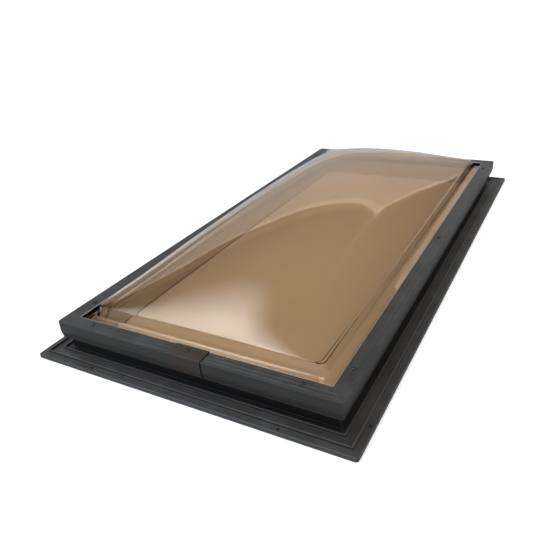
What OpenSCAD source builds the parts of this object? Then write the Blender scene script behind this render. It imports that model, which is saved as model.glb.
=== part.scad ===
// Low self-flashing roof skylight: a welded vinyl curb with its own nailing flange,
// two blown acrylic domes bedded in glazing tape, and a folded retainer strip that
// screws down over their edges. X runs across the short side and Y along the length.
// Z is up from the roof deck. The origin is under the middle of the nailing flange.

/* [Overall] */
// Width over the nailing flange, along X
flange_w = 610; // [480:10:900]
// Length over the nailing flange, along Y
flange_l = 1220; // [900:10:1600]
// Height of the glazing shelf above the roof deck
shelf_z = 48; // [40:1:90]

/* [Nailing flange] */
// Distance from the flange's edge to the outside of the curb wall
flange_reach = 45; // [40:1:80]
// Thickness of the hollow flange
flange_t = 7; // [6:0.5:12]
// Width of the solid strip that takes the nails
nail_strip = 13; // [12:1:16]
// Diameter of a nail hole
nail_d = 4.5; // [3:0.5:6]
// Distance between nail holes
nail_pitch = 362; // [150:1:380]
// Least distance from a flange corner to a nail hole
nail_end = 60; // [40:5:90]
// Width of a raised rib on the flange
rib_w = 2; // [1.5:0.5:3]
// Height of a raised rib on the flange
rib_h = 4; // [2:0.5:6]
// Distance from one rib to the next
rib_pitch = 18; // [12:1:20]
// Bevel along the flange's top edge
edge_bevel = 1; // [0.5:0.5:2]
// How far each welded corner is trimmed off
corner_trim = 4; // [1:1:8]

/* [Curb wall] */
// Depth of the wall, from its outside to the light well
wall_depth = 25; // [22:1:40]
// Thickness of the extrusion's walls
skin = 2; // [1.5:0.1:2.4]
// Width of the screw boss along the wall's outside
boss_w = 7; // [6:0.5:9]
// How far the solid screw boss runs down below the shelf
boss_drop = 8; // [6:1:12]
// Height of the web that splits the wall's hollow
web_z = 24; // [18:1:28]

/* [Glazing] */
// Thickness of the acrylic sheet
sheet_t = 3; // [2:0.5:4]
// Clearance between a dome's edge and the screw boss
edge_gap = 1; // [0.5:0.5:2]
// Radius of a dome's outside corners
sheet_corner_r = 4; // [2:1:8]
// Thickness of the tape on the shelf
shelf_tape_t = 2; // [1:0.5:4]
// Thickness of the tape between the domes
spacer_tape_t = 4; // [2:0.5:8]
// Thickness of the tape under the retainer
top_tape_t = 3.2; // [1:0.2:5]
// Width of the tapes that carry the domes
bed_tape_w = 10; // [6:1:14]
// Width of the tape under the retainer
top_tape_w = 5; // [3:0.5:7]
// Distance from a dome's edge in to its tapes
tape_inset = 1; // [0.5:0.5:2]

/* [Outer dome] */
// Flat margin from the outer dome's edge to the foot of its riser
outer_ledge = 27; // [18:1:40]
// Height of the outer dome's steep riser
outer_riser = 20; // [10:1:40]
// Rise of the blown crown above the riser's foot
outer_rise = 104; // [60:1:160]
// Corner radius at the foot of the risers
riser_r = 14; // [6:1:40]

/* [Inner dome] */
// Flat margin from the inner dome's edge to the foot of its riser
inner_ledge = 37; // [30:1:50]
// Height of the inner dome's steep riser
inner_riser = 19; // [8:1:36]
// Rise of the blown crown above the riser's foot
inner_rise = 94; // [50:1:150]

/* [Blown shape] */
// How far the risers lean in from foot to top
riser_lean = 3.5; // [1:0.5:8]
// Fullness of the blown crown, from 0.5, boxy, to 1, pointed
crown_power = 0.75; // [0.5:0.05:1]
// How gently the crown falls towards its short ends, from 1, as steep as at its sides
crown_ease = 1.8; // [1:0.1:2.5]

/* [Retainer strip] */
// How far the strip's skirt stands off the curb wall
skirt_off = 13; // [8:1:16]
// Width of the strip's top
strip_w = 29; // [26:1:31]
// Thickness of the strip
strip_t = 1.8; // [1.2:0.1:2.4]
// Height of the skirt from its top to its lower edge
skirt_h = 32; // [24:1:34]
// How far the skirt's foot tucks in
skirt_tuck = 2.5; // [0:0.5:4]
// Height of the part of the skirt that tucks in
tuck_h = 12; // [6:1:16]
// Outside radius of the folded corners
fold_r = 6; // [5:0.5:10]
// Depth of the grooves rolled into the strip
groove_d = 0.5; // [0.2:0.1:0.6]
// Width of a groove
groove_w = 1; // [0.6:0.1:1.6]
// Distance from the strip's edges in to the grooves on its top
groove_inset = 6; // [4:0.5:8]
// Distance from the strip's top down to the groove on its skirt
groove_drop = 6; // [4:0.5:10]
// Width of the open joint where the strip's ends meet
joint_gap = 1.6; // [0.5:0.1:3]

/* [Splice plate] */
// Length of the plate beside the strip's joint
plate_l = 63; // [40:1:90]
// How far the plate's middle lies to the right of its screw
plate_shift = 3.5; // [-10:0.5:10]
// Thickness of the plate
plate_t = 1.2; // [0.8:0.1:2]
// How far the plate runs in past the strip
plate_lip = 0.5; // [0:0.5:10]

/* [Screws] */
// Diameter of a screw's shank
screw_d = 3.5; // [3:0.1:4]
// Diameter of a screw's pan head
head_d = 8; // [7:0.5:9]
// Height of a screw's head
head_h = 2.4; // [1.8:0.1:3]
// Length of a screw's shank
screw_l = 18; // [14:1:20]
// Clearance round the shank in the strip
screw_clear = 0.35; // [0.2:0.05:0.6]
// Distance from the strip's corner to an end screw on a short side
short_end = 71; // [50:1:100]
// Distance from the strip's corner to an end screw on a long side
long_end = 78; // [50:1:100]

/* [Hidden] */
$fn = 48;

// Sides, counted round from the front
FRONT = 0;
RIGHT = 1;
BACK = 2;
LEFT = 3;

// Distances in from the flange's edge
wall_out = flange_reach;
wall_in = flange_reach + wall_depth;
boss_in = wall_out + boss_w;
sheet_out = boss_in + edge_gap;
tape_out = sheet_out + tape_inset;
strip_out = wall_out - skirt_off;
strip_in = strip_out + strip_w;
screw_in = (wall_out + boss_in) / 2;
nail_in = (nail_strip + edge_bevel) / 2;

// Heights above the roof deck
inner_z = shelf_z + shelf_tape_t;
spacer_z = inner_z + sheet_t;
outer_z = spacer_z + spacer_tape_t;
top_tape_z = outer_z + sheet_t;
strip_z = top_tape_z + top_tape_t;
head_z = strip_z + strip_t;

// Middle of the strip's joint, which opens at the plate's right end
joint_x = plate_shift + (plate_l + joint_gap) / 2;

pilot_clear = 0.05;
edge_break = 0.8;
cut = 1;
flange_skin = min(skin, flange_t / 3.5);
chamber_h = flange_t - 2 * flange_skin;

vinyl = [0.21, 0.21, 0.21];
strip_grey = [0.28, 0.27, 0.26];
plate_brown = [0.31, 0.27, 0.24];
bronze = [0.61, 0.45, 0.28, 0.6];
clear_tint = [0.80, 0.76, 0.70, 0.5];
tape_black = [0.08, 0.08, 0.08];
screw_dark = [0.30, 0.29, 0.28];

function side_w(side) = side % 2 == 0 ? flange_w : flange_l;
function side_reach(side) = (side % 2 == 0 ? flange_l : flange_w) / 2;

// Puts a piece drawn along X, with its inset along +Y, on one side of the unit
module at_side(side) {
    rotate([0, 0, 90 * side])
        translate([0, -side_reach(side), 0])
            children();
}

// ---------------------------------------------------------------- curb

function nails_on(side) = 1 + floor((side_w(side) - 2 * nail_end) / nail_pitch);
function nail_xs(side) = [
    for (i = [0 : nails_on(side) - 1]) (i - (nails_on(side) - 1) / 2) * nail_pitch
];

// Screw places along a side, measured from its middle
function screw_xs(side) =
    let (end = side_w(side) / 2 - strip_out - (side % 2 == 0 ? short_end : long_end))
    [-end, 0, end];

function rib_at(i) = nail_strip + i * rib_pitch;

// Outline of the extrusion: inset across, height up
function curb_outline() = concat(
    [[0, 0], [wall_in, 0], [wall_in, shelf_z], [boss_in, shelf_z], [boss_in, strip_z]],
    [[wall_out, strip_z], [wall_out, flange_t]],
    [for (i = [1, 0]) each [
        [rib_at(i) + rib_w, flange_t], [rib_at(i) + rib_w, flange_t + rib_h],
        [rib_at(i), flange_t + rib_h], [rib_at(i), flange_t]
    ]],
    [[edge_bevel, flange_t], [0, flange_t - edge_bevel]]
);

module curb_section() {
    boss_z = shelf_z - boss_drop;
    low_in = wall_in - skin;
    difference() {
        polygon(curb_outline());
        // hollows of the flange, with a web under each rib
        translate([rib_at(0) + rib_w, flange_skin])
            square([rib_pitch - rib_w, chamber_h]);
        translate([rib_at(1) + rib_w, flange_skin])
            square([wall_out - skin - rib_at(1) - rib_w, chamber_h]);
        // lower and upper hollows of the wall
        translate([wall_out + skin, skin])
            square([wall_depth - 2 * skin, web_z - 1.5 * skin]);
        polygon([
            [wall_out + skin, web_z + skin / 2], [low_in, web_z + skin / 2],
            [low_in, shelf_z - skin], [boss_in + skin, shelf_z - skin],
            [boss_in + skin, boss_z], [wall_out + skin, boss_z]
        ]);
    }
}

// One length of the curb, mitred at both ends, with its corners trimmed after welding
module curb_length(side) {
    half = side_w(side) / 2;
    tall = strip_z + 2 * cut;
    color(vinyl) at_side(side) difference() {
        intersection() {
            translate([-half, 0, 0]) rotate([90, 0, 90]) linear_extrude(2 * half) curb_section();
            translate([0, 0, -cut]) linear_extrude(tall) polygon([
                [-half + corner_trim, 0], [half - corner_trim, 0],
                [half - corner_trim / 2, corner_trim / 2],
                [half - wall_in, wall_in], [wall_in - half, wall_in],
                [-half + corner_trim / 2, corner_trim / 2]
            ]);
        }
        for (x = nail_xs(side))
            translate([x, nail_in, -cut]) cylinder(h = tall, d = nail_d);
        for (x = screw_xs(side))
            translate([x, screw_in, head_z - screw_l - pilot_clear])
                cylinder(h = tall, d = screw_d + 2 * pilot_clear);
    }
}

// ---------------------------------------------------------------- glazing tape

// A strip of tape on one side; the strips on the long sides butt between the others
module tape_length(side, inset, width, z, thick) {
    end = side % 2 == 0 ? inset : inset + width;
    long = side_w(side) - 2 * end;
    color(tape_black) at_side(side)
        translate([-long / 2, inset, z]) cube([long, width, thick]);
}

module shelf_tape(side) tape_length(side, tape_out, bed_tape_w, shelf_z, shelf_tape_t);
module spacer_tape(side) tape_length(side, tape_out, bed_tape_w, spacer_z, spacer_tape_t);
module top_tape(side) tape_length(side, tape_out, top_tape_w, top_tape_z, top_tape_t);

// ---------------------------------------------------------------- domes

function total(v, i = 0) = i < len(v) ? v[i] + total(v, i + 1) : 0;
function blend(a, b, t) = a + (b - a) * t;

// cosh(p) / cosh(q), kept small for large arguments
function cosh_ratio(p, q) = (exp(p - q) + exp(-p - q)) / (1 + exp(-2 * q));

// Sag of an evenly loaded film over a rectangle of half sizes a and b
function film(x, y, a, b) = total([
    for (k = [0 : 4])
        let (n = 2 * k + 1, flip = k % 2 == 0 ? 1 : -1, turn = n * PI / (2 * a))
        flip / pow(n, 3) * (1 - cosh_ratio(turn * abs(y), turn * b)) * cos(90 * n * x / a)
]);
function crown(x, y, a, b) =
    let (wide = a * crown_ease)
    pow(max(0, film(x * crown_ease, y, wide, b) / film(0, 0, wide, b)), crown_power);

// Points along each side and round each corner of a dome's ring
along_l = 13;
along_w = 7;
round_corner = 3;

// Spreads points along a side, closer together near its ends
function spread(i, n) = blend(i / n, (1 - cos(180 * i / n)) / 2, 0.6);

function ring_line(a, b, n) = [for (i = [0 : n - 1]) blend(a, b, spread(i, n))];
function ring_arc(cx, cy, r, start) = [
    for (i = [0 : round_corner - 1])
        let (t = start + 90 * i / round_corner) [cx + r * cos(t), cy + r * sin(t)]
];

// A rounded rectangle of half sizes hx and hy, as points anticlockwise
function ring(hx, hy, r) =
    let (cx = hx - r, cy = hy - r)
    concat(
        ring_line([hx, -cy], [hx, cy], along_l), ring_arc(cx, cy, r, 0),
        ring_line([cx, hy], [-cx, hy], along_w), ring_arc(-cx, cy, r, 90),
        ring_line([-hx, cy], [-hx, -cy], along_l), ring_arc(-cx, -cy, r, 180),
        ring_line([-cx, -hy], [cx, -hy], along_w), ring_arc(cx, -cy, r, 270)
    );
function inset_ring(inset, r) = ring(flange_w / 2 - inset, flange_l / 2 - inset, r);
function flat_ring(inset, r, z) = [for (p = inset_ring(inset, r)) [p.x, p.y, z]];

// Closed surface through rings that run from one pole to the other
module lofted(top, rings, under) {
    n = len(rings[0]);
    last = len(rings) * n + 1;
    points = concat([top], [for (r = rings) each r], [under]);
    faces = concat(
        [for (i = [0 : n - 1]) [0, 1 + (i + 1) % n, 1 + i]],
        [for (k = [0 : len(rings) - 2], i = [0 : n - 1])
            let (a = 1 + k * n + i, b = 1 + k * n + (i + 1) % n)
            each [[a, b, b + n], [a, b + n, a + n]]],
        [for (i = [0 : n - 1])
            let (base = 1 + (len(rings) - 1) * n)
            [last, base + i, base + (i + 1) % n]]
    );
    polyhedron(points, faces);
}

// A blown dome with a flat margin. z is the underside of the margin.
module dome(z, ledge, riser, rise) {
    top_z = z + sheet_t;
    foot = sheet_out + ledge;
    brow = foot + riser_lean;
    brow_r = riser_r - riser_lean / 2;
    steps = [0.12, 0.3, 0.5, 0.66, 0.79, 0.88, 0.94, 0.975, 0.992, 1];
    // one ring of the crown, whose outline lies in from the brow by an inset
    function crown_ring(s, inset, brow_z) =
        let (a = flange_w / 2 - brow - inset, b = flange_l / 2 - brow - inset)
        [for (p = ring(a, b, brow_r))
            [s * p.x, s * p.y, brow_z + (rise - riser) * crown(s * p.x, s * p.y, a, b)]];
    outside = [for (s = steps) crown_ring(s, 0, top_z + riser)];
    inside = [for (i = [len(steps) - 1 : -1 : 0]) crown_ring(steps[i], sheet_t, z + riser)];
    margin = [
        flat_ring(brow - riser_lean / 6, brow_r, top_z + riser - sheet_t),
        flat_ring(foot, riser_r, top_z + 1),
        flat_ring(foot - 1, riser_r + 1, top_z),
        flat_ring(sheet_out, sheet_corner_r, top_z),
        flat_ring(sheet_out, sheet_corner_r, z),
        flat_ring(foot + sheet_t - 1, riser_r - sheet_t + 1, z),
        flat_ring(foot + sheet_t, riser_r - sheet_t, z + 1),
        flat_ring(brow + sheet_t - riser_lean / 6, brow_r - sheet_t + 1, z + riser - sheet_t)
    ];
    lofted([0, 0, top_z + rise], concat(outside, margin, inside), [0, 0, z + rise]);
}

module inner_dome() color(clear_tint) dome(inner_z, inner_ledge, inner_riser, inner_rise);
module outer_dome() color(bronze) dome(outer_z, outer_ledge, outer_riser, outer_rise);

// ---------------------------------------------------------------- retainer

// Section of the strip's fold and skirt, from the fold's centre outwards
module skirt_section() {
    foot_z = head_z - skirt_h;
    knee_z = foot_z + tuck_h;
    groove_z = head_z - groove_drop;
    in_r = fold_r - strip_t;
    polygon([
        [0, head_z], [fold_r - edge_break, head_z], [fold_r, head_z - edge_break],
        [fold_r, groove_z + groove_w], [fold_r - groove_d, groove_z + groove_w / 2],
        [fold_r - groove_d, groove_z - groove_w / 2], [fold_r, groove_z - groove_w],
        [fold_r, knee_z], [fold_r - skirt_tuck, foot_z],
        [in_r - skirt_tuck, foot_z], [in_r, knee_z], [in_r, strip_z], [0, strip_z]
    ]);
}

// A flat frame between two insets, from height z up
module frame_ring(outer, inner, z, h) {
    difference() {
        translate([outer - flange_w / 2, outer - flange_l / 2, z])
            cube([flange_w - 2 * outer, flange_l - 2 * outer, h]);
        translate([inner - flange_w / 2, inner - flange_l / 2, z - cut])
            cube([flange_w - 2 * inner, flange_l - 2 * inner, h + 2 * cut]);
    }
}

module retainer_strip() {
    fold_in = strip_out + fold_r;
    color(strip_grey) difference() {
        union() {
            frame_ring(fold_in, strip_in, strip_z, strip_t);
            // the skirt along each side, and bent round each corner
            for (side = [FRONT, RIGHT, BACK, LEFT]) at_side(side) {
                run = side_w(side) - 2 * fold_in;
                translate([-run / 2, fold_in, 0]) rotate([90, 0, 90]) linear_extrude(run)
                    mirror([1, 0]) skirt_section();
                translate([run / 2, fold_in, 0]) rotate([0, 0, -90])
                    rotate_extrude(angle = 90) skirt_section();
            }
        }
        // a groove near each edge of the top
        for (inset = [strip_out + groove_inset, strip_in - groove_inset - groove_w])
            frame_ring(inset, inset + groove_w, head_z - groove_d, cut);
        for (side = [FRONT, RIGHT, BACK, LEFT], x = screw_xs(side))
            at_side(side) translate([x, screw_in, strip_z - cut])
                cylinder(h = strip_t + 2 * cut, d = screw_d + 2 * screw_clear);
        translate([joint_x - joint_gap / 2, -flange_l / 2, 0])
            cube([joint_gap, strip_in + cut, head_z + cut]);
    }
}

// Cover at the strip's joint, folded down over the skirt
module splice_plate() {
    foot_z = head_z - skirt_h;
    knee_z = foot_z + tuck_h;
    out = strip_out - plate_t;
    color(plate_brown) at_side(FRONT) difference() {
        translate([plate_shift - plate_l / 2, 0, 0]) rotate([90, 0, 90]) linear_extrude(plate_l)
            polygon([
                [strip_in + plate_lip, head_z], [strip_in + plate_lip, head_z + plate_t],
                [out + edge_break, head_z + plate_t], [out, head_z + plate_t - edge_break],
                [out, knee_z], [out + skirt_tuck, foot_z],
                [strip_out + skirt_tuck, foot_z], [strip_out, knee_z], [strip_out, head_z]
            ]);
        translate([0, screw_in, head_z - cut])
            cylinder(h = plate_t + 2 * cut, d = screw_d + 2 * screw_clear);
    }
}

// ---------------------------------------------------------------- screws

// A pan-head screw with a cross recess, its head standing on height z
module screw(z) {
    head_r = head_d / 2;
    recess_w = 1.1;
    recess_l = head_d * 0.55;
    recess_d = head_h * 0.55;
    foot_z = head_z - screw_l;
    difference() {
        union() {
            translate([0, 0, z]) rotate_extrude() polygon([
                [0, 0], [head_r, 0], [head_r, head_h * 0.35], [head_r * 0.9, head_h * 0.7],
                [head_r * 0.65, head_h * 0.94], [head_r * 0.3, head_h], [0, head_h]
            ]);
            translate([0, 0, foot_z]) cylinder(h = z - foot_z, d = screw_d);
        }
        for (turn = [20, 110])
            rotate([0, 0, turn])
                translate([-recess_l / 2, -recess_w / 2, z + head_h - recess_d])
                    cube([recess_l, recess_w, recess_d + cut]);
    }
}

module side_screws(side) {
    color(screw_dark) at_side(side)
        for (x = screw_xs(side))
            if (side != FRONT || x != 0) translate([x, screw_in, 0]) screw(head_z);
}

module splice_screw() color(screw_dark) at_side(FRONT)
    translate([0, screw_in, 0]) screw(head_z + plate_t);

curb_length(FRONT);  // curb_front
curb_length(RIGHT);  // curb_right
curb_length(BACK);  // curb_back
curb_length(LEFT);  // curb_left
shelf_tape(FRONT);  // shelf_tape_front
shelf_tape(RIGHT);  // shelf_tape_right
shelf_tape(BACK);  // shelf_tape_back
shelf_tape(LEFT);  // shelf_tape_left
inner_dome();
spacer_tape(FRONT);  // spacer_tape_front
spacer_tape(RIGHT);  // spacer_tape_right
spacer_tape(BACK);  // spacer_tape_back
spacer_tape(LEFT);  // spacer_tape_left
outer_dome();
top_tape(FRONT);  // top_tape_front
top_tape(RIGHT);  // top_tape_right
top_tape(BACK);  // top_tape_back
top_tape(LEFT);  // top_tape_left
retainer_strip();
splice_plate();
splice_screw();
side_screws(FRONT);  // screws_front
side_screws(RIGHT);  // screws_right
side_screws(BACK);  // screws_back
side_screws(LEFT);  // screws_left
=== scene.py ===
import math

import bmesh
import bpy
from mathutils import Matrix, Vector


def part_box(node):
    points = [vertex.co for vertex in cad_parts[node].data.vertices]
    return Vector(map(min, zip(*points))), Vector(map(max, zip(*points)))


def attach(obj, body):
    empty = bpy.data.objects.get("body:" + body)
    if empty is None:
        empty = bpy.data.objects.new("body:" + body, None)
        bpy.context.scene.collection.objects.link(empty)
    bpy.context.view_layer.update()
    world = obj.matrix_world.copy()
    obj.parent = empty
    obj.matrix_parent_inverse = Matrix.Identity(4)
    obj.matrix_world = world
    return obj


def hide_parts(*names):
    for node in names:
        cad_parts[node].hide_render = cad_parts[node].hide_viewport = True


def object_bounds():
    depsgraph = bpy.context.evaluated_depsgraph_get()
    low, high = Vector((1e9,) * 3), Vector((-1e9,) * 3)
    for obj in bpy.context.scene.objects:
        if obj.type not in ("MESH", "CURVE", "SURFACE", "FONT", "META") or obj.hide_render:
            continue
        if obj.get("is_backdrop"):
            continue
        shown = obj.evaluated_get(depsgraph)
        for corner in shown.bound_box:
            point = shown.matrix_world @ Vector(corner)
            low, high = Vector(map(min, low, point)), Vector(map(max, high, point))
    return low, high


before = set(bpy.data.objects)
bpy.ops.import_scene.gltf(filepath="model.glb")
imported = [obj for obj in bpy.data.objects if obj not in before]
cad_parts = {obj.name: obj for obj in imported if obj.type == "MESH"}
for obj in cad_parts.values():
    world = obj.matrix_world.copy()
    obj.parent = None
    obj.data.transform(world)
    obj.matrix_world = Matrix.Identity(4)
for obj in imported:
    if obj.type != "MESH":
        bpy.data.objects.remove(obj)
cad_low, cad_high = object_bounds()
half_width = cad_high.x
half_length = cad_high.y

# ------------------------------------------------------------------ curb
# Four lengths of one hollow vinyl extrusion, mitred and welded into a frame. Its wide foot is
# the nailing flange, with two raised ribs that turn rain away from the wall. The wall carries
# the domes, and the face towards the light well is a pale co-extruded skin.


class Number:
    """A number inside a node tree, so that the tree's sums can be written out as sums."""

    def __init__(self, tree, socket):
        self.tree = tree
        self.socket = socket

    def worked(self, operation, *others):
        node = self.tree.nodes.new("ShaderNodeMath")
        node.operation = operation
        for slot, other in zip(node.inputs, (self, *others)):
            if isinstance(other, Number):
                self.tree.links.new(other.socket, slot)
            else:
                slot.default_value = other
        return Number(self.tree, node.outputs[0])

    def __add__(self, other):
        return self.worked("ADD", other)

    def __sub__(self, other):
        return self.worked("SUBTRACT", other)

    def __mul__(self, other):
        return self.worked("MULTIPLY", other)

    def __truediv__(self, other):
        return self.worked("DIVIDE", other)

    def __pow__(self, other):
        return self.worked("POWER", other)

    def size(self):
        return self.worked("ABSOLUTE")

    def exp(self):
        return self.worked("EXPONENT")

    def at_least(self, other):
        return self.worked("MAXIMUM", other)

    def at_most(self, other):
        return self.worked("MINIMUM", other)

    def below(self, other):
        return self.worked("LESS_THAN", other)

    def above(self, other):
        return self.worked("GREATER_THAN", other)

    def ramp(self, start, end):
        """0 before start and 1 after end, with a straight slope between them."""
        return ((self - start) / (end - start)).at_least(0.0).at_most(1.0)


def filled(tree, node, inputs):
    """Fills a node's inputs, by name or by number, with values or from other nodes."""
    for slot, value in inputs.items():
        if isinstance(value, Number):
            value = value.socket
        if isinstance(value, bpy.types.NodeSocket):
            tree.links.new(value, node.inputs[slot])
        else:
            node.inputs[slot].default_value = value
    return node


def add_node(tree, kind, inputs=None, **settings):
    """Adds a node with its settings, then fills its inputs."""
    node = tree.nodes.new(kind)
    for name, value in settings.items():
        setattr(node, name, value)
    return filled(tree, node, inputs or {})


def new_tree(name, kind, inputs, outputs):
    """A node group with named inputs and outputs. Gives the tree and its two end nodes."""
    tree = bpy.data.node_groups.new(name, kind)
    for label, socket_kind, value in inputs:
        socket = tree.interface.new_socket(label, in_out="INPUT", socket_type=socket_kind)
        if value is not None:
            socket.default_value = value
    for label, socket_kind in outputs:
        tree.interface.new_socket(label, in_out="OUTPUT", socket_type=socket_kind)
    return tree, tree.nodes.new("NodeGroupInput"), tree.nodes.new("NodeGroupOutput")


def close_tree(tree, result, shape, material):
    """Ends a tree with real geometry that has its material on."""
    real = add_node(tree, "GeometryNodeRealizeInstances", {0: shape})
    painted = add_node(
        tree, "GeometryNodeSetMaterial", {"Geometry": real.outputs[0], "Material": material}
    )
    tree.links.new(painted.outputs[0], result.inputs[0])


def added(name, data):
    """A new object in the scene, with its mesh or other data."""
    thing = bpy.data.objects.new(name, data)
    bpy.context.scene.collection.objects.link(thing)
    return thing


def made_plain(piece):
    """Keeps what a piece's modifiers make of it as a plain mesh, and takes them off."""
    graph = bpy.context.evaluated_depsgraph_get()
    mesh = bpy.data.meshes.new_from_object(piece.evaluated_get(graph), depsgraph=graph)
    piece.modifiers.clear()
    piece.data = mesh


def worked_by(tree, piece, values, finish=None):
    """Runs a tree on a piece with its named inputs set. A finish adds a modifier of its own."""
    step = piece.modifiers.new("making", "NODES")
    step.node_group = tree
    for item in tree.interface.items_tree:
        if item.in_out == "INPUT" and item.name in values:
            step[item.identifier] = values[item.name]
    if finish:
        finish(piece)
    made_plain(piece)
    return piece


def made_by(tree, name, values, finish=None):
    """A new piece that a tree makes by itself."""
    return worked_by(tree, added(name, bpy.data.meshes.new(name)), values, finish)


def smoothed(piece, angle):
    """Shades a piece smooth, apart from edges sharper than an angle in degrees."""
    piece.data.shade_smooth()
    piece.data.set_sharp_from_angle(angle=math.radians(angle))


def outward(piece):
    """Turns the faces of a closed piece outwards, once its doubles are merged."""
    shell = bmesh.new()
    shell.from_mesh(piece.data)
    bmesh.ops.remove_doubles(shell, verts=shell.verts, dist=1e-6)
    bmesh.ops.recalc_face_normals(shell, faces=shell.faces)
    shell.to_mesh(piece.data)
    shell.free()


def placed(piece, slot_name, *nodes):
    """Fixes a finished piece to the unit, in place of the nodes that it stands for."""
    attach(piece, "root")
    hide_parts(*nodes)


# The sag of an evenly loaded film over a rectangle, which is how a sheet blows into a dome
film, film_in, film_out = new_tree(
    "blown_film", "GeometryNodeTree",
    [(n, "NodeSocketFloat", None) for n in ("Across", "Along", "Half Width", "Half Length")],
    [("Sag", "NodeSocketFloat")],
)
across, along, film_w, film_l = (Number(film, film_in.outputs[k]) for k in range(4))
sag = None
for k in range(5):
    wave = 2 * k + 1
    turn = film_w ** -1.0 * (wave * math.pi / 2)
    near = turn * along.size()
    far = turn * film_l
    share = ((near - far).exp() + (near * -1.0 - far).exp()) / ((far * -2.0).exp() + 1.0)
    term = (share * -1.0 + 1.0) * (turn * across).worked("COSINE") * ((-1) ** k / wave ** 3)
    sag = sag + term if sag else term
film.links.new(sag.socket, film_out.inputs[0])

# A section taken round a rectangle. Each point of the section says how far in from the
# outline it lies, how high, how round its corners are, and how much it is blown up.
SECTION_FACTS = ("inset", "height", "round", "share", "blown")
sweep, given, swept = new_tree(
    "section_round_frame", "GeometryNodeTree",
    [
        ("Section", "NodeSocketObject", None),
        ("Half Width", "NodeSocketFloat", 0.3),
        ("Half Length", "NodeSocketFloat", 0.6),
        ("Corner Cuts", "NodeSocketInt", 4),
        ("Side Cuts", "NodeSocketInt", 0),
        ("Film Inset", "NodeSocketFloat", 0.1),
        ("Fullness", "NodeSocketFloat", 0.6),
        ("End Ease", "NodeSocketFloat", 1.0),
        ("Finish", "NodeSocketMaterial", None),
    ],
    [("Geometry", "NodeSocketGeometry")],
)
frame_w = Number(sweep, given.outputs["Half Width"])
frame_l = Number(sweep, given.outputs["Half Length"])
base_round = 0.01
outline = add_node(
    sweep, "GeometryNodeCurvePrimitiveQuadrilateral",
    {"Width": frame_w * 2.0, "Height": frame_l * 2.0}, mode="RECTANGLE",
)
cut_sides = add_node(
    sweep, "GeometryNodeSubdivideCurve",
    {"Curve": outline.outputs[0], "Cuts": given.outputs["Side Cuts"]},
)
spot = add_node(sweep, "GeometryNodeInputPosition")
flat = add_node(sweep, "ShaderNodeSeparateXYZ", {0: spot.outputs[0]})
px, py = Number(sweep, flat.outputs[0]), Number(sweep, flat.outputs[1])
at_corner = (px.size() - frame_w).size().below(1e-5) * (py.size() - frame_l).size().below(1e-5)
rounded = add_node(
    sweep, "GeometryNodeFilletCurve",
    {"Curve": cut_sides.outputs[0], "Radius": at_corner * base_round,
     "Count": given.outputs["Corner Cuts"]},
    mode="POLY",
)
core_x = px.at_most(frame_w - base_round).at_least(frame_w * -1.0 + base_round)
core_y = py.at_most(frame_l - base_round).at_least(frame_l * -1.0 + base_round)
facts_of_outline = {
    "along_x": core_x / (frame_w - base_round),
    "along_y": core_y / (frame_l - base_round),
    "out_x": (px - core_x) / base_round,
    "out_y": (py - core_y) / base_round,
}
path = rounded.outputs[0]
for label, value in facts_of_outline.items():
    path = add_node(
        sweep, "GeometryNodeStoreNamedAttribute",
        {"Geometry": path, "Name": label, "Value": value}, data_type="FLOAT", domain="POINT",
    ).outputs[0]
section_shape = add_node(
    sweep, "GeometryNodeObjectInfo", {"Object": given.outputs["Section"]}
)
section_curve = add_node(sweep, "GeometryNodeMeshToCurve", {0: section_shape.outputs["Geometry"]})
skin = add_node(
    sweep, "GeometryNodeCurveToMesh", {0: path, 1: section_curve.outputs[0]}
)
fact = {
    label: Number(sweep, add_node(
        sweep, "GeometryNodeInputNamedAttribute", {"Name": label}, data_type="FLOAT"
    ).outputs[0])
    for label in (*SECTION_FACTS, *facts_of_outline)
}
reach_w = frame_w - fact["inset"] - fact["round"]
reach_l = frame_l - fact["inset"] - fact["round"]
new_x = (reach_w * fact["along_x"] + fact["out_x"] * fact["round"]) * fact["share"]
new_y = (reach_l * fact["along_y"] + fact["out_y"] * fact["round"]) * fact["share"]
end_ease = Number(sweep, given.outputs["End Ease"])
film_half_w = (frame_w - Number(sweep, given.outputs["Film Inset"])) * end_ease
film_half_l = frame_l - Number(sweep, given.outputs["Film Inset"])
sags = []
for at_x, at_y in ((new_x * end_ease, new_y), (0.0, 0.0)):
    blown = add_node(
        sweep, "GeometryNodeGroup", {0: at_x, 1: at_y, 2: film_half_w, 3: film_half_l},
        node_tree=film,
    )
    sags.append(Number(sweep, blown.outputs[0]))
crown = (sags[0] / sags[1]).at_least(0.0) ** Number(sweep, given.outputs["Fullness"])
new_z = fact["height"] + fact["blown"] * crown
moved_to = add_node(sweep, "ShaderNodeCombineXYZ", {0: new_x, 1: new_y, 2: new_z})
shaped = add_node(
    sweep, "GeometryNodeSetPosition", {"Geometry": skin.outputs[0], "Position": moved_to.outputs[0]}
)
merged = add_node(
    sweep, "GeometryNodeMergeByDistance", {"Geometry": shaped.outputs[0], "Distance": 1e-5}
)
close_tree(sweep, swept, merged.outputs[0], given.outputs["Finish"])


def section_line(name, points, closed):
    """A section as a line of points, each with the facts that the sweep reads."""
    mesh = bpy.data.meshes.new(name)
    count = len(points)
    links = [(i, (i + 1) % count) for i in range(count if closed else count - 1)]
    mesh.from_pydata([(p["inset"], p["height"], 0.0) for p in points], links, [])
    for label in SECTION_FACTS:
        layer = mesh.attributes.new(label, "FLOAT", "POINT")
        usual = 1.0 if label == "share" else 0.0
        for i, p in enumerate(points):
            layer.data[i].value = p.get(label, usual)
    return added(name, mesh)


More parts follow.
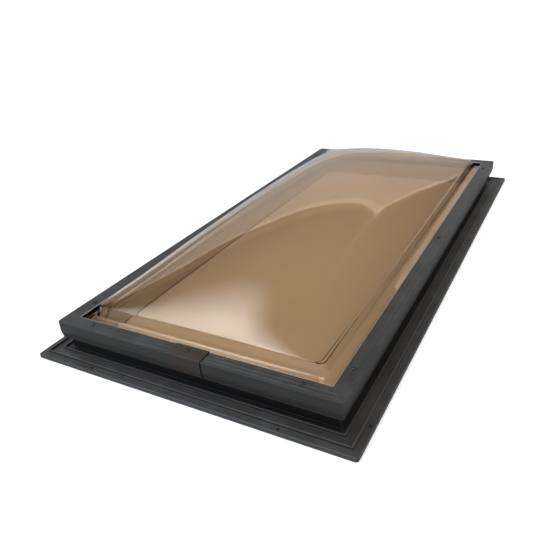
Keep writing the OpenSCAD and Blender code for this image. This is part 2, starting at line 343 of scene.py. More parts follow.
def eased(corners, bend, steps=3):
    """Rounds off the corners of a section given as (inset, height) pairs in millimetres."""
    done = []
    count = len(corners)
    for i, corner in enumerate(corners):
        here = Vector(corner[:2])
        size = corner[2] if len(corner) > 2 else bend
        before = Vector(corners[i - 1][:2]) - here
        after = Vector(corners[(i + 1) % count][:2]) - here
        size = min(size, before.length * 0.45, after.length * 0.45)
        if size <= 0:
            done.append(here)
            continue
        start = here + before.normalized() * size
        end = here + after.normalized() * size
        for k in range(steps + 1):
            t = k / steps
            done.append(start.lerp(here, t).lerp(here.lerp(end, t), t))
    return done


mm = 0.001
flange_top = 7.0
shelf = 48.0
wall_out, boss_in, wall_in = 45.0, 52.0, 70.0
strip_seat = 63.2
rib_places = (13.0, 31.0)
rib_wide, rib_tall = 2.0, 4.0
trimmed = 4.0

curb_corners = [
    (0, 0, 0.6), (wall_in, 0, 0.8), (wall_in, shelf, 0.6), (boss_in, shelf, 0.3),
    (boss_in, strip_seat, 0.5), (wall_out, strip_seat, 0.5), (wall_out, flange_top, 1.2),
]
for place in reversed(rib_places):
    curb_corners += [
        (place + rib_wide, flange_top, 0.8), (place + rib_wide, flange_top + rib_tall, 0.7),
        (place, flange_top + rib_tall, 0.7), (place, flange_top, 0.8),
    ]
curb_corners += [(1.0, flange_top, 0.7), (0, flange_top - 1.0, 0.7)]
curb_section = section_line(
    "curb_section",
    [
        {"inset": p.x * mm, "height": p.y * mm, "round": max(trimmed - 2 * p.x, 0.0) * mm}
        for p in eased(curb_corners, 0.6)
    ],
    closed=True,
)

# Nail holes are punched through the solid strip along the flange's edge
nail_wide, nail_inset, nail_pitch = 4.5, 7.0, 362.0
punch, punch_in, punched = new_tree(
    "nail_holes", "GeometryNodeTree",
    [
        ("Sheet", "NodeSocketGeometry", None),
        ("Half Width", "NodeSocketFloat", 0.3),
        ("Half Length", "NodeSocketFloat", 0.6),
        ("Inset", "NodeSocketFloat", 0.007),
        ("Spacing", "NodeSocketFloat", 0.36),
        ("Hole Width", "NodeSocketFloat", 0.0045),
        ("Finish", "NodeSocketMaterial", None),
    ],
    [("Geometry", "NodeSocketGeometry")],
)
spacing = Number(punch, punch_in.outputs["Spacing"])
cutter_middle, cutter_long = 0.004, 0.03
rows = []
for side in range(4):
    count = 2 if side % 2 == 0 else 4
    reach = Number(punch, punch_in.outputs["Half Length" if side % 2 == 0 else "Half Width"])
    inset = Number(punch, punch_in.outputs["Inset"])
    start = add_node(
        punch, "ShaderNodeCombineXYZ",
        {0: spacing * (-(count - 1) / 2), 1: inset - reach, 2: cutter_middle},
    )
    stride = add_node(punch, "ShaderNodeCombineXYZ", {0: spacing})
    row = add_node(
        punch, "GeometryNodeMeshLine",
        {"Count": count, "Start Location": start.outputs[0], "Offset": stride.outputs[0]},
    )
    rows.append(add_node(
        punch, "GeometryNodeTransform",
        {"Geometry": row.outputs[0], "Rotation": (0, 0, side * math.pi / 2)},
    ))
places = add_node(punch, "GeometryNodeJoinGeometry")
for row in rows:
    punch.links.new(row.outputs[0], places.inputs[0])
punch_tool = add_node(
    punch, "GeometryNodeMeshCylinder",
    {"Vertices": 24, "Radius": Number(punch, punch_in.outputs["Hole Width"]) * 0.5,
     "Depth": cutter_long},
)
tools = add_node(
    punch, "GeometryNodeInstanceOnPoints",
    {"Points": places.outputs[0], "Instance": punch_tool.outputs[0]},
)
real_tools = add_node(punch, "GeometryNodeRealizeInstances", {0: tools.outputs[0]})
holed = add_node(punch, "GeometryNodeMeshBoolean", operation="DIFFERENCE")
punch.links.new(punch_in.outputs["Sheet"], holed.inputs["Mesh 1"])
punch.links.new(real_tools.outputs[0], holed.inputs["Mesh 2"])
close_tree(punch, punched, holed.outputs[0], punch_in.outputs["Finish"])


def own_axes(tree, kind="Object"):
    """A point's own coordinates on the piece, as three numbers."""
    where = add_node(tree, "ShaderNodeTexCoord")
    parts = add_node(tree, "ShaderNodeSeparateXYZ", {0: where.outputs[kind]})
    return [Number(tree, socket) for socket in parts.outputs]


def clouds(tree, scale, detail, roughness=0.5, distortion=0.0, vector=None):
    """Noise from 0 to 1, on the piece's own coordinates or on a vector made from them."""
    if vector is None:
        vector = add_node(tree, "ShaderNodeTexCoord").outputs["Object"]
    noise = add_node(tree, "ShaderNodeTexNoise", {
        "Vector": vector, "Scale": scale, "Detail": detail, "Roughness": roughness,
        "Distortion": distortion})
    return Number(tree, noise.outputs["Fac"])


# Marks that run along an extrusion or a rolled strip and turn the corner with it: fine lines
# left by the die, and a slow change of tone
DIE_MARKS = ("Inset", "Mitre", "Height", "Tone")
drawn, drawn_in, drawn_out = new_tree(
    "drawn_lines", "ShaderNodeTree",
    [
        ("Half Width", "NodeSocketFloat", 0.3),
        ("Half Length", "NodeSocketFloat", 0.6),
        ("Line Width", "NodeSocketFloat", 0.001),
    ],
    [(label, "NodeSocketFloat") for label in DIE_MARKS],
)
ox, oy, oz = own_axes(drawn)
from_x = Number(drawn, drawn_in.outputs["Half Width"]) - ox.size()
from_y = Number(drawn, drawn_in.outputs["Half Length"]) - oy.size()
inset = from_x.at_most(from_y)
on_long = from_x.below(from_y)
run = oy * on_long + ox * (on_long * -1.0 + 1.0)
line_width = Number(drawn, drawn_in.outputs["Line Width"])
scratches = add_node(drawn, "ShaderNodeCombineXYZ", {
    0: inset / line_width, 1: oz / line_width, 2: run * 1.5})
patches = add_node(drawn, "ShaderNodeCombineXYZ", {
    0: inset * 40.0, 1: oz * 40.0, 2: run * 14.0})
filled(drawn, drawn_out, {
    "Inset": inset,
    "Mitre": (from_x - from_y).size(),
    "Height": clouds(drawn, 1.0, 2.0, 0.6, vector=scratches.outputs[0]),
    "Tone": clouds(drawn, 1.0, 3.0, 0.55, vector=patches.outputs[0]),
})

# Dust that settles on whatever faces up, in soft blotches with a few specks
dust, dust_in, dust_out = new_tree(
    "settled_dust", "ShaderNodeTree",
    [("Blotch Size", "NodeSocketFloat", 0.05), ("Amount", "NodeSocketFloat", 0.3)],
    [("Mask", "NodeSocketFloat")],
)
blotch_from, speck_from = 0.42, 0.62
facing = add_node(dust, "ShaderNodeNewGeometry")
upward = add_node(dust, "ShaderNodeSeparateXYZ", {0: facing.outputs["Normal"]})
lying = Number(dust, upward.outputs[2]).at_least(0.0)
blotch_scale = Number(dust, dust_in.outputs["Blotch Size"]) ** -1.0
blotches = (clouds(dust, blotch_scale, 6.0, 0.7) - blotch_from).at_least(0.0) * 3.0
specks = (clouds(dust, 900.0, 1.0) - speck_from).at_least(0.0) * 6.0
amount = Number(dust, dust_in.outputs["Amount"])
filled(dust, dust_out, {"Mask": ((blotches + specks) * lying * amount).at_most(1.0)})


def new_finish(name):
    """A material with a Principled BSDF. Gives the material, its tree and the shader."""
    material = bpy.data.materials.new(name)
    material.use_nodes = True
    tree = material.node_tree
    return material, tree, tree.nodes["Principled BSDF"]


def mixed(tree, share, first, second):
    """A colour between two others, each an output or its red, green and blue."""
    ends = [end if isinstance(end, bpy.types.NodeSocket) else (*end, 1) for end in (first, second)]
    mix = add_node(tree, "ShaderNodeMix", {0: share, 6: ends[0], 7: ends[1]}, data_type="RGBA")
    return mix.outputs[2]


def layered(tree, colour, *layers):
    """Lays more colours over a first one, each by its own share."""
    for share, over in layers:
        colour = mixed(tree, share, colour, over)
    return colour


def die_marks(tree, line_width):
    """A drawn strip's marks: how far in, how near the mitre, the lines' height and the tone."""
    marks = add_node(
        tree, "ShaderNodeGroup", {**outline_size, "Line Width": line_width}, node_tree=drawn)
    return [Number(tree, marks.outputs[label]) for label in DIE_MARKS]


def fallen_dust(tree, blotch_size, amount):
    """How much dust lies at each point."""
    fallen = add_node(
        tree, "ShaderNodeGroup", {"Blotch Size": blotch_size, "Amount": amount}, node_tree=dust)
    return fallen.outputs["Mask"]


def raised(tree, shader, height, distance, strength):
    """Lets a height show on a finish as relief."""
    relief = add_node(tree, "ShaderNodeBump", {
        "Height": height, "Distance": distance, "Strength": strength})
    filled(tree, shader, {"Normal": relief.outputs[0]})


outline_size = {"Half Width": half_width, "Half Length": half_length}
vinyl_dark, vinyl_light = (0.0250, 0.0224, 0.0196), (0.0465, 0.0415, 0.0363)
# The colours below include a painted shade for under the strip's skirt and, on the next line, a
# painted highlight for the rib crests.
rim_grey, curb_dust, painted_shade_black = (0.10, 0.10, 0.10), (0.14, 0.135, 0.13), (0.006, 0.006, 0.006)
crest_highlight_grey, skin_white = (0.13, 0.122, 0.112), (0.90, 0.87, 0.82)
worn_rim, weld_wide = 1.2, 0.9
overlap = 0.4  # how far a face's colour runs past its corner
shade_from, shade_full = 36.0, 42.67  # the flange is in the strip's shadow from here in
crest = flange_top + rib_tall - 0.7
foot_shadow_tall = 3.0

curb_vinyl, tree, shader = new_finish("curb_vinyl")
inset, mitre, die_line, tone = die_marks(tree, 0.7 * mm)
x_here, y_here, up_here = own_axes(tree)
on_short = (x_here.size() * -1.0 + half_width).above(y_here.size() * -1.0 + half_length)
# Painted shade: on the front and back the flange is darkened, up to 85 %, under the strip's skirt;
# on all sides everything from the wall's outer face inwards is darkened by half, under the pale
# skin.
shade = inset.ramp(shade_from * mm, shade_full * mm).at_most(0.85) * on_short
shade = shade.at_least(inset.above((wall_out - overlap) * mm) * 0.5)
# Painted highlight: the tops of the ribs are painted paler, as if catching the light.
rib_highlight = up_here.above(crest * mm) * inset.below(shade_from * mm)
on_shelf = inset.above((boss_in + overlap) * mm) * up_here.above((shelf - 1.0) * mm)
# Painted shadow: on the long sides the pale skin stops 3 mm above the inner wall's foot, leaving a
# dark line where the wall meets the floor.
long_wall = x_here.size().above(half_width - (wall_in + 0.3) * mm)
foot_shadow_band = long_wall * up_here.below(foot_shadow_tall * mm) * 0.8
pale_skin = (inset.above((wall_in - overlap) * mm) - foot_shadow_band).at_least(on_shelf)
curb_colour = layered(
    tree, mixed(tree, tone, vinyl_dark, vinyl_light),
    (inset.below(worn_rim * mm) * 0.35, rim_grey),
    (fallen_dust(tree, blotch_size=0.06, amount=0.30), curb_dust),
    (shade, painted_shade_black),
    (rib_highlight * 0.5, crest_highlight_grey),
    (pale_skin, skin_white),
)
filled(tree, shader, {"Base Color": curb_colour, "Roughness": die_line * 0.15 + 0.36})
raised(tree, shader, die_line + mitre.below(weld_wide * mm) * 0.6, 0.25 * mm, 0.5)

curb = made_by(sweep, "curb", {
    **outline_size, "Section": curb_section, "Corner Cuts": 1, "Side Cuts": 0,
    "Finish": curb_vinyl,
})
outward(curb)
worked_by(punch, curb, {
    **outline_size, "Inset": nail_inset * mm, "Spacing": nail_pitch * mm,
    "Hole Width": nail_wide * mm, "Finish": curb_vinyl,
})
smoothed(curb, 32)
bpy.data.objects.remove(curb_section)
placed(curb, "curb_vinyl", "curb_front", "curb_right", "curb_back", "curb_left")

# ------------------------------------------------------------------ glazing tape
# Strips of soft black tape under, between and over the two domes. They seal the domes and let
# the acrylic move as it warms. Each strip is laid along one side.
tape_foam, tree, shader = new_finish("tape_foam")
foam_dark, foam_light = (0.006, 0.006, 0.006), (0.022, 0.021, 0.020)
cells = clouds(tree, 700.0, 3.0)
foam_colour = mixed(tree, cells, foam_dark, foam_light)
filled(tree, shader, {"Base Color": foam_colour, "Roughness": 0.85})
raised(tree, shader, cells, 0.4 * mm, 0.6)
for layer in ("shelf_tape", "spacer_tape", "top_tape"):
    for side in ("front", "right", "back", "left"):
        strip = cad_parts[layer + "_" + side]
        strip.data.materials.clear()
        strip.data.materials.append(tape_foam)

# ------------------------------------------------------------------ domes
# Two sheets of acrylic, heated, clamped at their margins and blown up with air, so that each
# has a flat margin, a steep riser and a full crown. The lower one is nearly clear and the
# upper one is bronze. They lie one over the other with air between them.
sheet = 3.0
dome_edge, edge_round = 53.0, 4.0
riser_lean = 7.0
foot_round = 16.0
bend = 4.5
fullness = 0.75
end_ease = 1.8
crown_rows = 44


def blown_sheet(name, finish, under, ledge, riser, rise):
    """One dome, from its apex out to the edge of its margin, thickened inwards."""
    top = under + sheet
    foot = dome_edge + ledge
    brow = foot + riser_lean
    brow_round = foot_round - riser_lean / 2
    points = []
    for k in range(crown_rows + 1):
        points.append({
            "share": 1.0 - (1.0 - k / crown_rows) ** 2, "inset": brow * mm,
            "round": brow_round * mm, "height": (top + riser) * mm,
            "blown": (rise - riser) * mm,
        })
    for drop in (1.5, 4.0, riser * 0.5, riser - bend):
        lean = riser_lean * drop / riser
        points.append({
            "inset": (brow - lean) * mm, "height": (top + riser - drop) * mm,
            "round": (brow_round + lean / 2) * mm,
        })
    start, corner, end = foot + riser_lean * bend / riser, foot, foot - bend
    for k in range(1, 7):
        t = k / 6
        out = (1 - t) ** 2 * start + 2 * t * (1 - t) * corner + t * t * end
        points.append({
            "inset": out * mm, "height": (top + bend * (1 - t) ** 2) * mm,
            "round": (foot_round + max(foot - out, 0.0)) * mm,
        })
    points.append({"inset": dome_edge * mm, "height": top * mm, "round": edge_round * mm})
    line = section_line(name + "_section", points, closed=False)

    def thickened(holder):
        wall = holder.modifiers.new("thickness", "SOLIDIFY")
        wall.thickness = sheet * mm
        wall.offset = -1.0
        wall.use_even_offset = True

    dome = made_by(sweep, name, {
        **outline_size, "Section": line, "Corner Cuts": 7, "Side Cuts": 50,
        "Film Inset": brow * mm, "Fullness": fullness, "End Ease": end_ease, "Finish": finish,
    }, thickened)
    bpy.data.objects.remove(line)
    smoothed(dome, 40)
    return dome


# Marks on both sheets: a thin haze of dust left in streaks by wiping, a slow waviness from the
# oven, and how far the sheet has thinned as it stretched up towards the crown
wiped, wiped_in, wiped_out = new_tree(
    "wiped_sheet", "ShaderNodeTree",
    [("Streak Length", "NodeSocketFloat", 0.1), ("Crown Height", "NodeSocketFloat", 0.16)],
    [(n, "NodeSocketFloat") for n in ("Haze", "Wave", "Thinned")],
)
wipe_slant, wipe_stretch = 0.35, 9.0
thin_from = 0.07
wx, wy, wz = own_axes(wiped)
streak = Number(wiped, wiped_in.outputs["Streak Length"]) ** -1.0
wiped_way = add_node(wiped, "ShaderNodeCombineXYZ", {
    0: (wx + wy * wipe_slant) * streak * wipe_stretch, 1: (wy - wx * wipe_slant) * streak,
    2: wz * streak})
streaks = clouds(wiped, 1.0, 5.0, 0.6, 0.6, vector=wiped_way.outputs[0])
filled(wiped, wiped_out, {
    "Haze": streaks.ramp(0.5, 0.5 + 1 / 3) * clouds(wiped, 9.0, 3.0),
    "Wave": clouds(wiped, 7.0, 1.0),
    "Thinned": wz.ramp(thin_from, Number(wiped, wiped_in.outputs["Crown Height"])),
})


def acrylic(name, at_foot, at_crown, crown, haze_share):
    """Clear or tinted acrylic, a little paler where it stretched, and dulled by its haze."""
    material, tree, shader = new_finish(name)
    marks = add_node(tree, "ShaderNodeGroup", {"Crown Height": crown * mm}, node_tree=wiped)
    filled(tree, shader, {
        "Transmission Weight": 1.0, "IOR": 1.49,
        "Base Color": mixed(tree, marks.outputs["Thinned"], at_foot, at_crown),
        "Roughness": Number(tree, marks.outputs["Haze"]) * haze_share + 0.008,
    })
    raised(tree, shader, marks.outputs["Wave"], 0.6 * mm, 0.35)
    return material


inner_under, inner_rise = 50.0, 94.0
outer_under, outer_rise = 57.0, 104.0
clear_foot, clear_crown = (0.95, 0.945, 0.93), (0.97, 0.965, 0.955)
bronze_foot, bronze_crown = (0.78, 0.57, 0.35), (0.815, 0.605, 0.375)
acrylic_clear = acrylic(
    "acrylic_clear", clear_foot, clear_crown, crown=inner_under + sheet + inner_rise,
    haze_share=0.03)
acrylic_bronze = acrylic(
    "acrylic_bronze", bronze_foot, bronze_crown, crown=outer_under + sheet + outer_rise,
    haze_share=0.022)

inner_dome = blown_sheet(
    "inner_dome_blown", acrylic_clear, inner_under, ledge=33.5, riser=19.0, rise=inner_rise)
placed(inner_dome, "acrylic_clear", "inner_dome")
outer_dome = blown_sheet(
    "outer_dome_blown", acrylic_bronze, outer_under, ledge=23.5, riser=20.0, rise=outer_rise)
placed(outer_dome, "acrylic_bronze", "outer_dome")

# ------------------------------------------------------------------ retainer strip
# One long strip, rolled with shallow grooves, laid over the domes' margins and folded down
# into a skirt. It is bent round all four corners, and its two ends meet at the front.
strip_out, strip_wide, strip_thick = 32.0, 29.0, 1.8
strip_top = 65.0
strip_in = strip_out + strip_wide
skirt_foot = strip_top - 32.0
knee = skirt_foot + 12.0
tuck = 2.5
fold = 6.0
groove = 0.45


def grooved(start, end, places, wide=0.9):
    """Points along a straight stretch with a small groove at each place along it."""
    a, b = Vector(start), Vector(end)
    way = (b - a).normalized()
    inward = Vector((-way.y, way.x))
    made = []
    for place in places:
        middle = a + way * place
        made += [
            (*(middle - way * wide), 0.25), (*(middle - way * wide * 0.35 + inward * groove), 0.2),
            (*(middle + way * wide * 0.35 + inward * groove), 0.2), (*(middle + way * wide), 0.25),
        ]
    return made


strip_corners = [(strip_in, strip_top, 0.5)]
strip_corners += grooved((strip_in, strip_top), (strip_out, strip_top), (5.5, 14.0, 22.5))
strip_corners += [(strip_out, strip_top, 1.2)]
strip_corners += grooved((strip_out, strip_top), (strip_out, knee), (5.0, 13.0))
strip_corners += [
    (strip_out, knee, 3), (strip_out + tuck, skirt_foot, 0.5),
    (strip_out + tuck + strip_thick, skirt_foot, 0.5), (strip_out + strip_thick, knee, 3),
    (strip_out + strip_thick, strip_seat, 0.4), (strip_in, strip_seat, 0.4),
]
strip_section = section_line(
    "strip_section",
    [
        {"inset": p.x * mm, "height": p.y * mm,
         "round": max(fold - (p.x - strip_out), 0.0) * mm}
        for p in eased(strip_corners, 0.4)
    ],
    closed=True,
)
strip_dark, strip_light = (0.0220, 0.0200, 0.0176), (0.0400, 0.0362, 0.0318)
strip_dust, scored_grey = (0.16, 0.155, 0.15), (0.085, 0.080, 0.075)
# The next two colours are painted highlights: a pale line along the skirt's lower edge and a pale
# pinkish line along the strip's inner lip.
foot_highlight_grey, lip_highlight_pale = (0.17, 0.165, 0.16), (0.62, 0.52, 0.49)
lit_band_wide = 0.9
strip_grey, tree, shader = new_finish("strip_grey")
inset, _, die_line, tone = die_marks(tree, 0.9 * mm)
# Painted highlight: a pale band along the lower edge of the skirt.
lit_foot_band = own_axes(tree)[2].below((skirt_foot + lit_band_wide) * mm)
# Painted highlight: a pale pinkish line along the strip's inner edge, where the light catches it.
lit_lip_band = inset.above((strip_in - lit_band_wide) * mm)
strip_colour = layered(
    tree, mixed(tree, tone, strip_dark, strip_light),
    (fallen_dust(tree, blotch_size=0.04, amount=0.25), strip_dust),
    (die_line.ramp(0.5, 0.7) * 0.3, scored_grey),
    (lit_foot_band * 0.8, foot_highlight_grey),
    (lit_lip_band * 0.85, lip_highlight_pale),
)
filled(tree, shader, {"Base Color": strip_colour, "Roughness": die_line * 0.15 + 0.34})
raised(tree, shader, die_line, 0.25 * mm, 0.8)

retainer = made_by(sweep, "retainer_rolled", {
    **outline_size, "Section": strip_section, "Corner Cuts": 6, "Side Cuts": 0,
    "Finish": strip_grey,
})
outward(retainer)
bpy.data.objects.remove(strip_section)


def block(name, low, high):
    """A plain box between two corners in millimetres, to cut with."""
    mesh = bpy.data.meshes.new(name)
    shell = bmesh.new()
    bmesh.ops.create_cube(shell, size=1.0)
    for point in shell.verts:
        point.co = Vector([(low[k] if point.co[k] < 0 else high[k]) * mm for k in range(3)])
    shell.to_mesh(mesh)
    shell.free()
    return added(name, mesh)


# The two ends stop short of each other beside the splice plate
joint_open = (35.0, 36.6)
saw_past = 20.0
front = -half_length / mm
saw = block(
    "saw", (joint_open[0], front + strip_out - saw_past, skirt_foot - saw_past),
    (joint_open[1], front + strip_in + saw_past, strip_top + saw_past))
cut = retainer.modifiers.new("joint", "BOOLEAN")
cut.operation = "DIFFERENCE"
cut.solver = "EXACT"
cut.object = saw
made_plain(retainer)
bpy.data.objects.remove(saw)
smoothed(retainer, 32)
placed(retainer, "strip_vinyl", "retainer_strip")

# ------------------------------------------------------------------ splice plate
# A short smooth cover, bent from thin sheet, that lies over the strip beside the joint where
# its ends meet. One of the strip's screws holds it.
brown_dark, brown_light = (0.036, 0.0285, 0.0235), (0.056, 0.0450, 0.0370)
splice_brown, tree, shader = new_finish("splice_brown")
plate_colour = mixed(tree, clouds(tree, 45.0, 4.0), brown_dark, brown_light)
filled(tree, shader, {
    "Base Color": plate_colour, "Roughness": 0.42, "Specular IOR Level": 0.32})
plate_thick = 1.2
plate_ends = (-28.0, 35.0)
plate_lap = 61.5
bent = eased([
    (plate_lap, strip_top + plate_thick, 0.0),
    (strip_out - plate_thick, strip_top + plate_thick, 2.4),
    (strip_out - plate_thick, knee, 4.0), (strip_out - plate_thick + tuck, skirt_foot, 0.0),
    (strip_out + tuck, skirt_foot, 0.0), (strip_out, knee, 4.0), (strip_out, strip_top, 1.2),
    (plate_lap, strip_top, 0.0),
], 0.0, 4)
count = len(bent)
plate_mesh = bpy.data.meshes.new("splice_plate_bent")
plate_mesh.from_pydata(
    [(x * mm, p.x * mm - half_length, p.y * mm) for x in plate_ends for p in bent], [],
    [tuple(range(count)), tuple(range(2 * count - 1, count - 1, -1))]
    + [(i, i + count, (i + 1) % count + count, (i + 1) % count) for i in range(count)],
)
plate = added("splice_plate_bent", plate_mesh)
outward(plate)
softened = plate.modifiers.new("edges", "BEVEL")
softened.width = 0.35 * mm
softened.segments = 2
softened.limit_method = "ANGLE"
softened.angle_limit = math.radians(60)
made_plain(plate)
plate.data.materials.append(splice_brown)
smoothed(plate, 40)
placed(plate, "splice_brown", "splice_plate")

# ------------------------------------------------------------------ screws
# Pan-head screws with a cross recess, three to a side, driven through the strip into the
# boss along the wall. They are painted dark like the strip, mottled with paler worn paint.
paint_dark, paint_worn = (0.03, 0.029, 0.028), (0.10, 0.097, 0.093)
screw_dark, tree, shader = new_finish("screw_dark")
screw_colour = mixed(tree, clouds(tree, 600.0, 3.0), paint_dark, paint_worn)
filled(tree, shader, {"Base Color": screw_colour, "Metallic": 0.6, "Roughness": 0.38})

head_tall, shank_wide, tip_tall = 2.4, 4.0, 1.5
recess_wide, recess_deep = 3.6, 1.2
screw_inset, screw_pitch_short, screw_pitch_long = 48.5, 202.0, 500.0
lathe = 20.0  # half width of the turning frame, wider than the screw


def turned(radius, height):
    """A point of a turned profile, for the sweep to take round a circle."""
    return {"inset": (lathe - radius) * mm, "height": height * mm, "round": radius * mm}


# A row of screws, each at its own turn, with a cross recess sunk into its head
driven, driven_in, driven_out = new_tree(
    "driven_screws", "GeometryNodeTree",
    [
        ("Screw", "NodeSocketObject", None),
        ("Count", "NodeSocketInt", 3),
        ("Start", "NodeSocketVector", None),
        ("Stride", "NodeSocketVector", None),
        ("Recess Width", "NodeSocketFloat", 0.0036),
        ("Recess Depth", "NodeSocketFloat", 0.0012),
        ("Head Height", "NodeSocketFloat", 0.0024),
        ("Seed", "NodeSocketInt", 1),
        ("Finish", "NodeSocketMaterial", None),
    ],
    [("Geometry", "NodeSocketGeometry")],
)
whole = add_node(driven, "GeometryNodeObjectInfo", {"Object": driven_in.outputs["Screw"]})
wing = Number(driven, driven_in.outputs["Recess Width"])
deep = Number(driven, driven_in.outputs["Recess Depth"])
blade_size = add_node(driven, "ShaderNodeCombineXYZ", {0: wing, 1: wing * 0.24, 2: deep * 2.0})
blade = add_node(driven, "GeometryNodeMeshCube", {"Size": blade_size.outputs[0]})
lift = add_node(driven, "ShaderNodeCombineXYZ", {
    2: Number(driven, driven_in.outputs["Head Height"])})
bits = add_node(driven, "GeometryNodeJoinGeometry")
for quarter in range(2):
    turned_blade = add_node(driven, "GeometryNodeTransform", {
        "Geometry": blade.outputs[0], "Translation": lift.outputs[0],
        "Rotation": (0, 0, quarter * math.pi / 2)})
    driven.links.new(turned_blade.outputs[0], bits.inputs[0])
sunk = add_node(
    driven, "GeometryNodeMeshBoolean", {"Self Intersection": True}, operation="DIFFERENCE",
    solver="EXACT")
driven.links.new(whole.outputs["Geometry"], sunk.inputs["Mesh 1"])
driven.links.new(bits.outputs[0], sunk.inputs["Mesh 2"])
spots = add_node(driven, "GeometryNodeMeshLine", {
    "Count": driven_in.outputs["Count"], "Start Location": driven_in.outputs["Start"],
    "Offset": driven_in.outputs["Stride"]})
chance = add_node(driven, "FunctionNodeRandomValue", {
    "Seed": driven_in.outputs["Seed"]}, data_type="FLOAT")
turn = add_node(driven, "ShaderNodeCombineXYZ", {
    2: Number(driven, chance.outputs[1]) * (math.pi / 2)})
row = add_node(driven, "GeometryNodeInstanceOnPoints", {
    "Points": spots.outputs[0], "Instance": sunk.outputs[0], "Rotation": turn.outputs[0]})
close_tree(driven, driven_out, row.outputs[0], driven_in.outputs["Finish"])

# Radius and height of the pan head, from the middle of its top round to its seat
head_shape = (
    (0.0, head_tall), (1.6, 2.38), (2.6, 2.22), (3.3, 1.85), (3.75, 1.2), (3.95, 0.6),
    (4.0, 0.25), (3.9, 0.0),
)
edge_x, edge_y = half_width / mm - screw_inset, half_length / mm - screw_inset
screw_rows = (
    ("splice_screw", 1, (0.0, -edge_y), (0.0, 0.0), strip_top + plate_thick),
    ("screws_front", 2, (-screw_pitch_short, -edge_y), (2 * screw_pitch_short, 0.0), strip_top),
    ("screws_right", 3, (edge_x, -screw_pitch_long), (0.0, screw_pitch_long), strip_top),
    ("screws_back", 3, (-screw_pitch_short, edge_y), (screw_pitch_short, 0.0), strip_top),
    ("screws_left", 3, (-edge_x, -screw_pitch_long), (0.0, screw_pitch_long), strip_top),
)
for number, (name, count, first, stride, seat) in enumerate(screw_rows):
    low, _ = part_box(name)
    tip = low.z / mm - seat
    profile = [turned(*point) for point in head_shape]
    profile += [
        turned(shank_wide / 2, 0.0), turned(shank_wide / 2, tip + tip_tall), turned(0.0, tip)]
    screw_line = section_line(name + "_section", profile, closed=False)
    screw = made_by(sweep, name + "_one", {
        "Section": screw_line, "Half Width": lathe * mm, "Half Length": lathe * mm,
        "Corner Cuts": 7, "Side Cuts": 0, "Finish": screw_dark})
    outward(screw)
    fixing = made_by(driven, name + "_driven", {
        "Screw": screw, "Count": count, "Start": (first[0] * mm, first[1] * mm, seat * mm),
        "Stride": (stride[0] * mm, stride[1] * mm, 0.0), "Recess Width": recess_wide * mm,
        "Recess Depth": recess_deep * mm, "Head Height": head_tall * mm,
        "Seed": number + 3, "Finish": screw_dark})
    for spent in (screw, screw_line):
        bpy.data.objects.remove(spent)
    smoothed(fixing, 35)
    placed(fixing, "screw_dark", name)

# ------------------------------------------------------------------ studio
# A wide floor of pale paper, soft light all round, and the camera above the front right
# corner. The paper brightens with distance, so that it runs out into white.
floor_half, floor_under = 400.0, 0.3
floor_mesh = bpy.data.meshes.new("floor")
floor_mesh.from_pydata(
    [(x * floor_half, y * floor_half, -floor_under * mm)
     for x, y in ((-1, -1), (1, -1), (1, 1), (-1, 1))],
    [], [(0, 1, 2, 3)],
)
floor = added("floor", floor_mesh)
paper_white, paper_mirrored = (0.90, 0.90, 0.90), (0.50, 0.50, 0.50)
paper, tree, shader = new_finish("paper")
where = add_node(tree, "ShaderNodeTexCoord")
distance = add_node(
    tree, "ShaderNodeVectorMath", {0: where.outputs["Object"]}, operation="LENGTH")
far_light = Number(tree, distance.outputs["Value"]).ramp(0.7, 2.3) * 0.6 + 0.10
seen = add_node(tree, "ShaderNodeLightPath")
plainly = Number(tree, seen.outputs["Is Camera Ray"])
through = Number(tree, seen.outputs["Is Transmission Ray"])
mirrored = Number(tree, seen.outputs["Is Glossy Ray"]) * (through * -1.0 + 1.0)
filled(tree, shader, {
    "Base Color": mixed(tree, mirrored, paper_white, paper_mirrored),
    "Roughness": 0.9,
    "Emission Color": (1, 1, 1, 1),
    "Emission Strength": far_light * plainly + 0.22 - mirrored * 0.22,
})
floor_mesh.materials.append(paper)
floor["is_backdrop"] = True

# White cloth hangs behind in a dim room, in a shallow arch with a bright hem. It is caught up
# on a hook at the far left, and falls away to the right of a pole. A long cool light hangs
# level over the left side, a lamp stands overhead, and a screen stands on the right.
world = bpy.data.worlds.new("studio")
bpy.context.scene.world = world
world.use_nodes = True
tree = world.node_tree
east, north, rise = own_axes(tree, "Generated")
degree = math.pi / 180
bearing = east.worked("ARCTAN2", north) * (1 / degree)
elevation = rise.worked("ARCSINE") * (1 / degree)

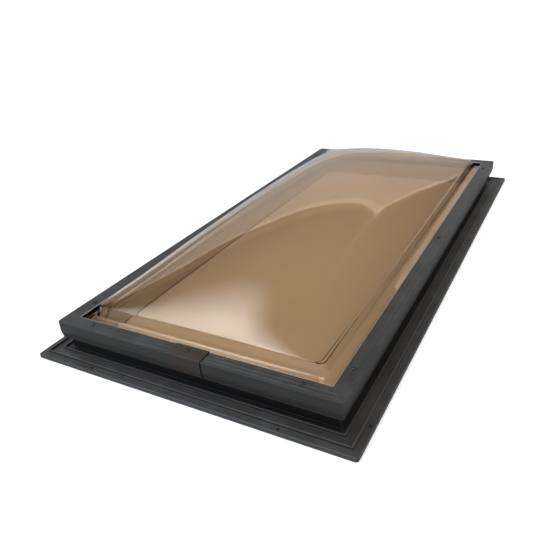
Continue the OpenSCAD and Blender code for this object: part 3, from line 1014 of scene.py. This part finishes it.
hook_at, hook_lift, hook_spread = -74.0, 9.5, 10.0
arch_at, arch_top, arch_foot, arch_curve = -8.0, 30.4, 25.6, 0.003
pole_at, fall_slope, fall_step = 4.0, 1.25, 2.0
hooked = ((bearing - hook_at).size() * (-1 / hook_spread)).exp() * hook_lift
arch = ((bearing - arch_at).size() ** 2.0 * -arch_curve + arch_top).at_least(arch_foot)
fall = (bearing - (pole_at + 0.5)).at_least(0.0) * fall_slope
fall = fall + bearing.ramp(pole_at + 0.2, pole_at + 1.2) * fall_step
below = arch + hooked - fall - elevation
hung = bearing.ramp(45.0, 33.0) * bearing.ramp(-175.0, -120.0)
cloth = below.ramp(-0.3, 0.3) * hung
hem = below.ramp(-0.3, 0.2) * below.ramp(1.8, 1.3) * hung
pole = (bearing - pole_at).size().ramp(1.3, 0.8)
pole = pole * elevation.ramp(24.0, 30.0) * elevation.ramp(60.0, 50.0)

over = rise.at_least(0.02)
lean_x, lean_y = east / over, north / over
cool = (
    lean_x.ramp(-0.34, -0.50) * (lean_x - lean_y * 0.3).ramp(-1.02, -0.56)
    * lean_y.ramp(0.62, 0.06) * lean_y.ramp(-1.1, -0.8)
)
lamp = ((lean_x * lean_x + lean_y * lean_y) ** 0.5).ramp(0.26, 0.16) * rise.above(0.0)
screen = (east * 0.97 - north * 0.24).ramp(0.3, 0.65)

room_light, hem_light, pole_light, screen_light, lamp_light = 0.13, 0.34, 0.25, 0.5, 9.5
cool_light, cool_tint = 4.6, (0.76, 0.95, 1.20)
cloth_light = elevation.ramp(2.0, 18.0) * 0.20 + 0.31
plain = cloth * cloth_light + hem * hem_light + pole * pole_light
plain = plain + lamp * lamp_light + screen * screen_light + room_light
tones = add_node(tree, "ShaderNodeCombineXYZ", {
    k: cool * (cool_light * tint) + plain for k, tint in enumerate(cool_tint)})
filled(tree, tree.nodes["Background"], {"Color": tones.outputs[0]})

camera = added("camera", bpy.data.cameras.new("camera"))
camera.data.lens = 38.13
camera.data.sensor_width = 36.0
camera_at = Vector((0.5030, -1.1392, 0.5831))
right = Vector((0.8772, 0.4752, -0.0678))
up = Vector((-0.1643, 0.4299, 0.8878))
back = Vector((0.4511, -0.7677, 0.4551))
turned_to = Matrix((right, up, back)).transposed().to_4x4()
camera.matrix_world = Matrix.Translation(camera_at) @ turned_to
bpy.context.scene.camera = camera
bpy.context.scene.view_settings.view_transform = "Standard"

low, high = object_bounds()
